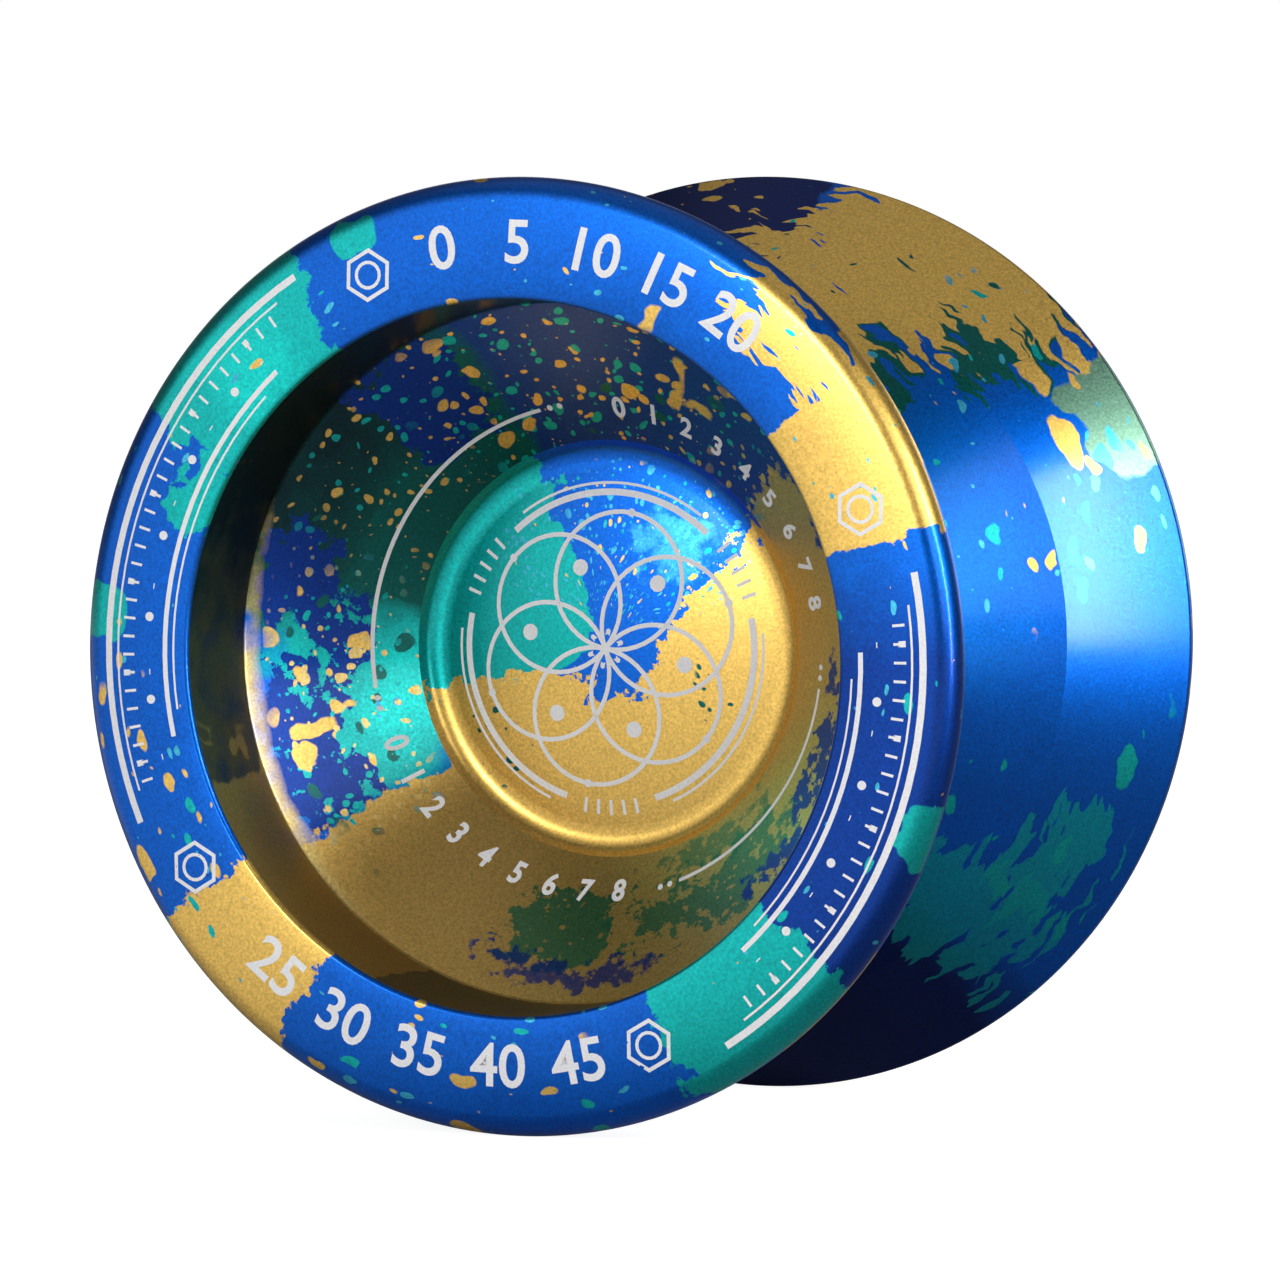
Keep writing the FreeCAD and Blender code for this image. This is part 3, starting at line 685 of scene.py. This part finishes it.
coat.flung(fine, coat.patch(76, 128, 12.0, 31.0, 2.0, 0.5), ((GOLD, 0.30), (TEAL, 0.15)))
coat.flung(small, coat.patch(80, 128, 12.0, 31.0, 2.0, 0.5), ((GOLD, 0.40), (NAVY, 0.2)))
coat.flung(small, coat.patch(52, 84, 17.0, 31.0, 2.0, 0.5), ((GREEN, 0.10),))
coat.flung(large, coat.patch(318, 358, 14.0, 28.0, 2.0, 0.5), ((TEAL, 0.35),))
coat.paint(GOLD, coat.patch(145, 182, 16.0, 31.0, 7.0, 0.1, "fingered"))
coat.paint(TEAL, coat.patch(196, 228, 14.0, 28.0, 6.0, 0.2, "fingered"))
rear.data.materials.append(coat.finish())
slope_side(rear)

rear_marks = dial_marks("etched_dial_rear", rear, 1)
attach(rear_marks, "rear_side")
rear_marks.data.materials.clear()
rear_marks.data.materials.append(etched)


# ---- response pads ---------------------------------------------------------------------------------------
# Two silicone rings set in the grooves beside the bearing; the string catches on them.  Milky, faintly soft.

pad_outline = ((7.25, 3.2), (7.25, 2.25, 0.22), (9.5, 2.25, 0.22), (9.5, 3.2))

silicone = bpy.data.materials.new("milky_silicone")
silicone.use_nodes = True
tree = silicone.node_tree
shader = tree.nodes["Principled BSDF"]
texture_place = add_node(tree, "TexCoord")
clouds = add_node(tree, "TexNoise", (("Vector", texture_place.outputs["Object"]),),
                  (("Scale", 700.0), ("Detail", 3.0)))
skin = add_node(tree, "TexNoise", (("Vector", texture_place.outputs["Object"]),),
                (("Scale", 6000.0), ("Detail", 2.0)))
tone = add_node(tree, "Mix", ((0, clouds.outputs[0]),),
                ((6, (0.62, 0.66, 0.68, 1)), (7, (0.82, 0.85, 0.86, 1))), data_type="RGBA")
matt = add_node(tree, "Math", ((0, skin.outputs[0]),), ((1, 0.25), (2, 0.35)), operation="MULTIPLY_ADD")
bump = add_node(tree, "Bump", (("Height", skin.outputs[0]),), (("Strength", 0.3), ("Distance", 0.00002)))
tree.links.new(tone.outputs[2], shader.inputs["Base Color"])
tree.links.new(matt.outputs[0], shader.inputs["Roughness"])
tree.links.new(bump.outputs[0], shader.inputs["Normal"])
shader.inputs["Subsurface Weight"].default_value = 0.35
shader.inputs["Subsurface Scale"].default_value = 0.0006
shader.inputs["Subsurface Radius"].default_value = (1.0, 0.9, 0.8)

for side, end, body in ((-1, "front", "spool"), (1, "rear", "rear_pad_carrier")):
    pad = turned("silicone_ring_" + end, pad_outline, side)
    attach(pad, body)
    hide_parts(end + "_response_pad")
    pad.data.materials.clear()
    pad.data.materials.append(silicone)


# ---- bearing ---------------------------------------------------------------------------------------------
# Ground steel races, polished balls, a pressed crown cage and brushed shields held by spring clips.
# Their shapes are the solids' own; each gets the finish that its making leaves.

# marks left by a lathe, a grinder or a drawing die: fine lines round the axle
turning_group, asks, gives = new_group(
    "turning_lines", (("Vector", "Vector", None), ("Lines", "Float", 9000.0), ("Contrast", "Float", 0.2)),
    (("Height", "Float"), ("Shade", "Float")))
apart = add_node(turning_group, "SeparateXYZ", ((0, asks.outputs["Vector"]),))
sideways = add_node(turning_group, "CombineXYZ", ((0, apart.outputs["X"]), (1, apart.outputs["Z"])))
from_axle = add_node(turning_group, "VectorMath", ((0, sideways.outputs[0]),), operation="LENGTH")
section_place = add_node(turning_group, "CombineXYZ",
                         ((0, from_axle.outputs["Value"]), (1, apart.outputs["Y"])))
lines = add_node(turning_group, "TexNoise",
                 (("Vector", section_place.outputs[0]), ("Scale", asks.outputs["Lines"])),
                 (("Detail", 3.0), ("Roughness", 0.7)))
stains = add_node(turning_group, "TexNoise", (("Vector", asks.outputs["Vector"]),),
                  (("Scale", 900.0), ("Detail", 2.0)))
both_marks = add_node(turning_group, "Math", ((0, lines.outputs[0]), (1, stains.outputs[0])), operation="ADD")
centred = add_node(turning_group, "Math", ((0, both_marks.outputs[0]),), ((1, -1.0),), operation="ADD")
shade = add_node(turning_group, "Math", ((0, centred.outputs[0]), (1, asks.outputs["Contrast"])), ((2, 1.0),),
                 operation="MULTIPLY_ADD")
turning_group.links.new(lines.outputs[0], gives.inputs["Height"])
turning_group.links.new(shade.outputs[0], gives.inputs["Shade"])


def machined(name, colour, lines, contrast, smoothest, roughest, depth):
    """Metal with lines round the axle, in its tone, its gloss and its relief."""
    material = bpy.data.materials.new(name)
    material.use_nodes = True
    tree = material.node_tree
    shader = tree.nodes["Principled BSDF"]
    place = add_node(tree, "TexCoord")
    marks = tree.nodes.new("ShaderNodeGroup")
    marks.node_tree = turning_group
    tree.links.new(place.outputs["Object"], marks.inputs["Vector"])
    marks.inputs["Lines"].default_value = lines
    marks.inputs["Contrast"].default_value = contrast
    shaded = add_node(tree, "VectorMath", (("Scale", marks.outputs["Shade"]),), ((0, colour),),
                      operation="SCALE")
    gloss = add_node(tree, "MapRange", (("Value", marks.outputs["Shade"]),),
                     (("From Min", 1 - contrast / 2), ("From Max", 1 + contrast / 2), ("To Min", roughest),
                      ("To Max", smoothest)))
    relief = add_node(tree, "Bump", (("Height", marks.outputs["Height"]),),
                      (("Strength", 0.4), ("Distance", depth)))
    tree.links.new(shaded.outputs[0], shader.inputs["Base Color"])
    tree.links.new(gloss.outputs["Result"], shader.inputs["Roughness"])
    tree.links.new(relief.outputs[0], shader.inputs["Normal"])
    shader.inputs["Metallic"].default_value = 1.0
    return material


def finish_nodes(material, *names):
    for name in names:
        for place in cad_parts[name].material_slots:
            place.material = material


finish_nodes(machined("ground_race_steel", (0.62, 0.61, 0.60), 12000.0, 0.25, 0.12, 0.26, 0.000004),
             "bearing_inner_race", "bearing_outer_race")
finish_nodes(machined("polished_ball_steel", (0.74, 0.74, 0.75), 3000.0, 0.08, 0.04, 0.10, 0.000001),
             *[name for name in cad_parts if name.startswith("bearing_ball")])
finish_nodes(machined("pressed_cage_steel", (0.52, 0.50, 0.46), 5000.0, 0.3, 0.24, 0.42, 0.000005),
             "bearing_cage")
finish_nodes(machined("brushed_shield_steel", (0.60, 0.61, 0.62), 16000.0, 0.35, 0.2, 0.38, 0.000006),
             "front_bearing_shield", "rear_bearing_shield")
finish_nodes(machined("drawn_clip_steel", (0.36, 0.36, 0.37), 20000.0, 0.3, 0.2, 0.34, 0.000004),
             "front_shield_clip", "rear_shield_clip")


# ---- axle ------------------------------------------------------------------------------------------------
# Headless M4 screw of stainless steel, with its thread, chamfered ends and a hexagon socket in the rear end.
# The halves screw onto it.

AXLE_ENDS = (-5.05, 4.95)
THREAD_PITCH = 0.7
THREAD_TURNS = 17
thread_section = ((1.60, 0.0), (1.60, 0.09), (1.99, 0.31), (1.99, 0.39), (1.60, 0.61), (1.60, THREAD_PITCH))
blank_outline = ((0, AXLE_ENDS[0]), (1.5, AXLE_ENDS[0]), (2.0, AXLE_ENDS[0] + 0.5), (2.0, AXLE_ENDS[1] - 0.5),
                 (1.5, AXLE_ENDS[1]), (0, AXLE_ENDS[1]))
SOCKET_ACROSS_FLATS = 2.0
SOCKET_DEPTH = 2.2

thread_start = -THREAD_TURNS / 2 * THREAD_PITCH
axle = drawn("threaded_axle", [Vector((radius * MM, (thread_start + along) * MM, 0))
                               for radius, along in thread_section], closed=False)
bpy.ops.object.mode_set(mode="OBJECT")
winding = axle.modifiers.new("winding", "SCREW")
winding.axis = "Y"
winding.screw_offset = THREAD_PITCH * MM
winding.iterations = THREAD_TURNS
winding.steps = winding.render_steps = 40
winding.use_merge_vertices = True
winding.merge_threshold = MERGE
bpy.ops.object.modifier_apply(modifier=winding.name)
bpy.ops.object.mode_set(mode="EDIT")
for way in (-1, 1):
    bpy.ops.mesh.select_all(action="SELECT")
    bpy.ops.mesh.bisect(plane_co=(0, way * 5.2 * MM, 0), plane_no=(0, way, 0), use_fill=True,
                        clear_outer=True, threshold=MERGE / 10)
bpy.ops.mesh.select_all(action="SELECT")
bpy.ops.mesh.remove_doubles(threshold=MERGE)
bpy.ops.mesh.normals_make_consistent(inside=False)
bpy.ops.object.mode_set(mode="OBJECT")
blank = turned("screw_blank", blank_outline, 1)
bpy.ops.object.select_all(action="DESELECT")
bpy.ops.mesh.primitive_cylinder_add(vertices=6, radius=SOCKET_ACROSS_FLATS / 2 / math.cos(math.pi / 6) * MM,
                                    depth=2 * SOCKET_DEPTH * MM, location=(0, AXLE_ENDS[1] * MM, 0),
                                    rotation=(math.pi / 2, 0, 0))
socket_tool = bpy.context.object
for tool, operation in ((blank, "INTERSECT"), (socket_tool, "DIFFERENCE")):
    cut = axle.modifiers.new("cut", "BOOLEAN")
    cut.operation = operation
    cut.object = tool
    with bpy.context.temp_override(object=axle, active_object=axle):
        bpy.ops.object.modifier_apply(modifier=cut.name)
    bpy.data.objects.remove(tool)
bpy.ops.object.select_all(action="DESELECT")
axle.select_set(True)
bpy.context.view_layer.objects.active = axle
bpy.ops.object.shade_smooth_by_angle(angle=math.radians(24))
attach(axle, "spool")
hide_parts("axle_screw")
axle.data.materials.clear()
axle.data.materials.append(machined("plain_screw_steel", (0.45, 0.45, 0.46), 7000.0, 0.3, 0.22, 0.38,
                                    0.000006))


# ---- studio ----------------------------------------------------------------------------------------------
# Pale floor and backdrop with soft light: a bright strip on the right, a broad box beside it, a small one
# over the camera and one behind.

WHITE = (1, 1, 1, 1)

camera_azimuth = math.radians(24.174)
camera_elevation = math.radians(2.599)
camera_distance = 612.15 * MM
back = Vector((math.sin(camera_azimuth) * math.cos(camera_elevation),
               -math.cos(camera_azimuth) * math.cos(camera_elevation), math.sin(camera_elevation)))
right = Vector((math.cos(camera_azimuth), math.sin(camera_azimuth), 0))
up = back.cross(right)
aim = right * (-0.389 * MM) + up * (0.263 * MM)
camera_data = bpy.data.cameras.new("camera")
camera_data.sensor_width = 36.0
camera_data.lens = 287.33
camera_data.clip_start = 0.01
camera = bpy.data.objects.new("camera", camera_data)
bpy.context.scene.collection.objects.link(camera)
camera.location = aim + back * camera_distance
camera.rotation_euler = back.to_track_quat("Z", "Y").to_euler()
bpy.context.scene.camera = camera

bpy.ops.object.select_all(action="DESELECT")
bpy.ops.mesh.primitive_plane_add(size=6.0, location=(0, 0, -28.0 * MM))
floor = bpy.context.object
floor.name = "floor"
floor_material = bpy.data.materials.new("pale_floor")
floor_material.use_nodes = True
tree = floor_material.node_tree
tree.nodes.clear()
seen = add_node(tree, "LightPath")
mirrored = add_node(tree, "Math",
                    ((0, seen.outputs["Is Glossy Ray"]), (1, seen.outputs["Is Transmission Ray"])),
                    operation="MAXIMUM")
spot = add_node(tree, "TexCoord")
away = add_node(tree, "VectorMath", ((0, spot.outputs["Object"]),), operation="LENGTH")
fade = add_node(tree, "MapRange", (("Value", away.outputs["Value"]),), (("From Min", 0.6), ("From Max", 2.5)))
# painted reflection: the floor in front of the object and to its left glows for mirrored rays only, and shows
# in the metal as light that no lamp gives
front_left = (math.sin(math.radians(-25)), -math.cos(math.radians(-25)), 0)
ahead = add_node(tree, "VectorMath", ((0, spot.outputs["Object"]),), ((1, front_left),),
                 operation="DOT_PRODUCT")
mirrored_glow_ahead = add_node(tree, "MapRange", (("Value", ahead.outputs["Value"]),),
                 (("From Min", 0.018), ("From Max", 0.06), ("To Max", 0.62)))
paleness = add_node(tree, "Math", ((0, fade.outputs["Result"]), (1, mirrored_glow_ahead.outputs["Result"])),
                    operation="MAXIMUM")
shown = add_node(tree, "Math", ((0, mirrored.outputs[0]), (1, paleness.outputs[0])), operation="MULTIPLY")
bright = add_node(tree, "Math", ((0, shown.outputs[0]), (1, seen.outputs["Is Camera Ray"])),
                  operation="MAXIMUM")
near_glow = add_node(tree, "MapRange", (("Value", away.outputs["Value"]),),
                     (("From Min", 0.08), ("From Max", 0.5), ("To Min", 0.90), ("To Max", 1.0)))
lit = add_node(tree, "BsdfDiffuse", (), ((0, (0.4, 0.4, 0.4, 1)),))
glow = add_node(tree, "Emission", ((1, near_glow.outputs["Result"]),), ((0, WHITE),))
summed = add_node(tree, "AddShader", ((0, lit.outputs[0]), (1, glow.outputs[0])))
mixed = add_node(tree, "MixShader", ((0, bright.outputs[0]), (1, lit.outputs[0]), (2, summed.outputs[0])))
add_node(tree, "OutputMaterial", ((0, mixed.outputs[0]),))
floor.data.materials.append(floor_material)


def soft_box(name, azimuth, elevation, distance, width, height, brightness):
    """Area lamp at an angle round from the front face (towards the right) and above the floor."""
    azimuth, elevation = math.radians(azimuth), math.radians(elevation)
    way = Vector((math.sin(azimuth) * math.cos(elevation), -math.cos(azimuth) * math.cos(elevation),
                  math.sin(elevation)))
    data = bpy.data.lights.new(name, "AREA")
    data.shape = "RECTANGLE"
    data.size, data.size_y = width, height
    data.energy = brightness * math.pi * width * height
    lamp = bpy.data.objects.new(name, data)
    bpy.context.scene.collection.objects.link(lamp)
    lamp.location = way * distance
    lamp.rotation_euler = way.to_track_quat("Z", "Y").to_euler()


soft_box("soft_box_right", 75, 15, 0.6, 0.025, 0.40, 72.0)
soft_box("soft_box_side", 52, 20, 0.6, 0.16, 0.36, 3.2)
soft_box("soft_box_back", 154, 14, 0.7, 0.30, 0.30, 2.5)
soft_box("soft_box_front", -4, 17, 0.7, 0.16, 0.12, 22.0)

world = bpy.data.worlds.new("studio")
bpy.context.scene.world = world
world.use_nodes = True
tree = world.node_tree
tree.nodes.clear()
seen = add_node(tree, "LightPath")
heading = add_node(tree, "TexCoord")
behind = add_node(tree, "VectorMath", ((0, heading.outputs["Generated"]),), ((1, -back),),
                  operation="DOT_PRODUCT")
backdrop = add_node(tree, "MapRange", (("Value", behind.outputs["Value"]),),
                    (("From Min", 0.88), ("From Max", 1.0)))
fill_way = Vector((-0.38, -0.91, 0.16))
filled = add_node(tree, "VectorMath", ((0, heading.outputs["Generated"]),), ((1, fill_way),),
                  operation="DOT_PRODUCT")
fill = add_node(tree, "MapRange", (("Value", filled.outputs["Value"]),),
                (("From Min", 0.70), ("From Max", 1.0), ("To Min", 0.10), ("To Max", 1.15)))
height = add_node(tree, "SeparateXYZ", ((0, heading.outputs["Generated"]),))
ceiling = add_node(tree, "MapRange", (("Value", height.outputs["Z"]),),
                   (("From Min", 0.75), ("From Max", 0.9), ("To Min", 0.0), ("To Max", 0.30)))
room_level = add_node(tree, "Math", ((0, fill.outputs["Result"]), (1, ceiling.outputs["Result"])),
                      operation="ADD")
mirrored = add_node(tree, "Math",
                    ((0, seen.outputs["Is Glossy Ray"]), (1, seen.outputs["Is Transmission Ray"])),
                    operation="MAXIMUM")
shown = add_node(tree, "Math", ((0, mirrored.outputs[0]), (1, backdrop.outputs["Result"])),
                 operation="MULTIPLY")
bright = add_node(tree, "Math", ((0, shown.outputs[0]), (1, seen.outputs["Is Camera Ray"])),
                  operation="MAXIMUM")
room = add_node(tree, "Background", ((1, room_level.outputs[0]),), ((0, WHITE),))
white = add_node(tree, "Background", (), ((0, WHITE), (1, 1.0)))
mixed = add_node(tree, "MixShader", ((0, bright.outputs[0]), (1, room.outputs[0]), (2, white.outputs[0])))
add_node(tree, "OutputWorld", ((0, mixed.outputs[0]),))

bpy.context.scene.view_settings.view_transform = "Standard"
